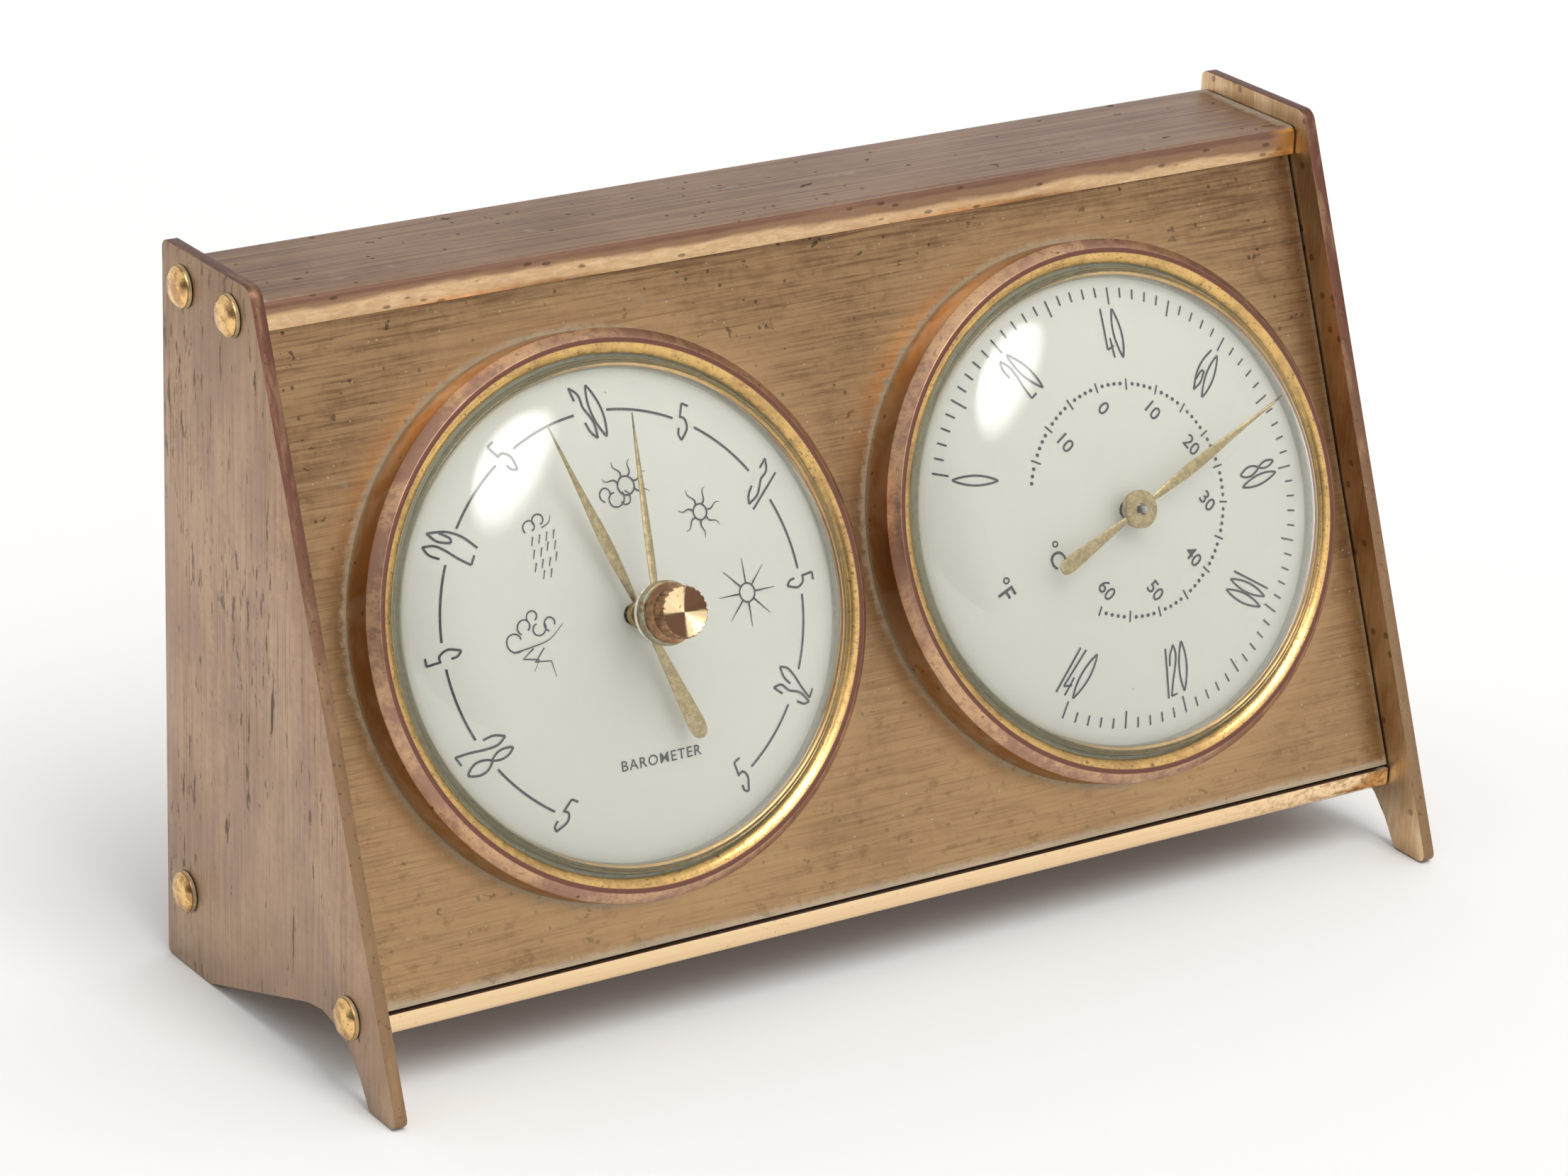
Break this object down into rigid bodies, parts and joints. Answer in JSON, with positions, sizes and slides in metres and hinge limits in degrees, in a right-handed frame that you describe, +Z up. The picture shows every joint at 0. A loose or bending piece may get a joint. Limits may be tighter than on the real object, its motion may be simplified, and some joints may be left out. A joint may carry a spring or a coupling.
{
  "type": "desk weather station",
  "caption": "Slant-front brass desk weather station with a barometer and a thermometer under domed glasses between flat brass cheeks.",
  "frame": {"origin": "middle of the footprint at table level, centred on the box over the cheeks and cap nuts", "axes": "+X along the width towards the thermometer side, +Y to the rear, +Z up; the dials face -Y and lean back"},
  "size_m": [0.1882, 0.0674, 0.1103],
  "materials": {
    "aneroid_capsule": "nickel plated sheet",
    "barometer_bezel": "polished, aged lacquer",
    "barometer_can": "plain",
    "barometer_crystal": "clear polished acrylic",
    "barometer_dial": "satin cream enamel",
    "bimetal_coil": "plain",
    "calibration_lever": "polished, aged lacquer",
    "cap_nut_low_front_left": "polished, aged lacquer",
    "cap_nut_low_front_right": "polished, aged lacquer",
    "cap_nut_low_rear_left": "polished, aged lacquer",
    "cap_nut_low_rear_right": "polished, aged lacquer",
    "cap_nut_top_front_left": "polished, aged lacquer",
    "cap_nut_top_front_right": "polished, aged lacquer",
    "cap_nut_top_rear_left": "polished, aged lacquer",
    "cap_nut_top_rear_right": "polished, aged lacquer",
    "case_wrap": "polished, aged lacquer",
    "dial_bridge": "polished, aged lacquer",
    "front_panel": "satin brushed",
    "hairspring": "plain",
    "knob_bush": "polished, aged lacquer",
    "left_cheek": "satin brushed",
    "main_spring": "plain",
    "movement_base": "polished, aged lacquer",
    "pointer_arbor": "plain",
    "pressure_hand": "polished, aged lacquer",
    "right_cheek": "satin brushed",
    "rocking_shaft": "plain",
    "setting_hand": "polished, aged lacquer",
    "setting_knob": "polished, aged lacquer",
    "staff_cage": "polished, aged lacquer",
    "temperature_hand": "polished, aged lacquer",
    "thermometer_bezel": "polished, aged lacquer",
    "thermometer_can": "plain",
    "thermometer_crystal": "clear polished acrylic",
    "thermometer_dial": "satin cream enamel",
    "thermometer_staff": "plain",
    "tie_rod_low_front": "plain",
    "tie_rod_low_rear": "plain",
    "tie_rod_top_front": "plain",
    "tie_rod_top_rear": "plain",
    "toothed_sector": "polished, aged lacquer",
    "train_bridge": "polished, aged lacquer",
    "upper_plate": "polished, aged lacquer",
    "zero_screw": "polished, aged lacquer"
  },
  "bodies": {
    "case": {"aneroid_capsule": "aneroid_capsule", "barometer_bezel": "barometer_bezel", "barometer_can": "barometer_can", "barometer_crystal": "barometer_crystal", "barometer_dial": "barometer_dial", "bimetal_coil": "bimetal_coil", "cap_nut_low_front_left": "cap_nut_low_front_left", "cap_nut_low_front_right": "cap_nut_low_front_right", "cap_nut_low_rear_left": "cap_nut_low_rear_left", "cap_nut_low_rear_right": "cap_nut_low_rear_right", "cap_nut_top_front_left": "cap_nut_top_front_left", "cap_nut_top_front_right": "cap_nut_top_front_right", "cap_nut_top_rear_left": "cap_nut_top_rear_left", "cap_nut_top_rear_right": "cap_nut_top_rear_right", "case_wrap": "case_wrap", "dial_bridge": "dial_bridge", "front_panel": "front_panel", "hairspring": "hairspring", "knob_bush": "knob_bush", "left_cheek": "left_cheek", "main_spring": "main_spring", "movement_base": "movement_base", "right_cheek": "right_cheek", "staff_cage": "staff_cage", "thermometer_bezel": "thermometer_bezel", "thermometer_can": "thermometer_can", "thermometer_crystal": "thermometer_crystal", "thermometer_dial": "thermometer_dial", "tie_rod_low_front": "tie_rod_low_front", "tie_rod_low_rear": "tie_rod_low_rear", "tie_rod_top_front": "tie_rod_top_front", "tie_rod_top_rear": "tie_rod_top_rear", "train_bridge": "train_bridge", "upper_plate": "upper_plate"},
    "knob": {"setting_knob": "setting_knob", "setting_hand": "setting_hand"},
    "pressure_pointer": {"pressure_hand": "pressure_hand", "pointer_arbor": "pointer_arbor"},
    "sector": {"toothed_sector": "toothed_sector"},
    "rocker": {"rocking_shaft": "rocking_shaft"},
    "adjuster": {"zero_screw": "zero_screw"},
    "temperature_pointer": {"temperature_hand": "temperature_hand", "thermometer_staff": "thermometer_staff"},
    "calibration": {"calibration_lever": "calibration_lever"}
  },
  "joints": [
    {"name": "set_knob", "type": "hinge", "parent": "case", "child": "knob", "pos_m": [-0.0435, -0.02466, 0.06473], "axis": [0, 0.9337, -0.3581], "continuous": true},
    {"name": "pressure", "type": "hinge", "parent": "case", "child": "pressure_pointer", "pos_m": [-0.0435, -0.01667, 0.06167], "axis": [0, 0.9337, -0.3581], "range_deg": [-131, 169]},
    {"name": "sector_turn", "type": "hinge", "parent": "case", "child": "sector", "pos_m": [-0.0262, -0.00281, 0.05635], "axis": [0, 0.9337, -0.3581], "range_deg": [-22.53, 17.46]},
    {"name": "rocker_turn", "type": "hinge", "parent": "case", "child": "rocker", "pos_m": [-0.0202, 0.00569, 0.05309], "axis": [1, 0, 0], "range_deg": [-15.06, 11.72]},
    {"name": "zero_adjust", "type": "hinge", "parent": "case", "child": "adjuster", "pos_m": [-0.0685, 0.01316, 0.05023], "axis": [0, 0.9337, -0.3581], "range_deg": [-180, 180]},
    {"name": "temperature", "type": "hinge", "parent": "case", "child": "temperature_pointer", "pos_m": [0.0435, -0.01719, 0.06186], "axis": [0, 0.9337, -0.3581], "range_deg": [-138.5, 141.5]},
    {"name": "calibrate", "type": "hinge", "parent": "case", "child": "calibration", "pos_m": [0.0435, 0.00373, 0.05384], "axis": [0, 0.9337, -0.3581], "range_deg": [-15, 15]}
  ],
  "couplings": [
    {"joint": "pressure", "follows": "sector_turn", "ratio": -7.5},
    {"joint": "rocker_turn", "follows": "sector_turn", "ratio": 0.65934}
  ]
}
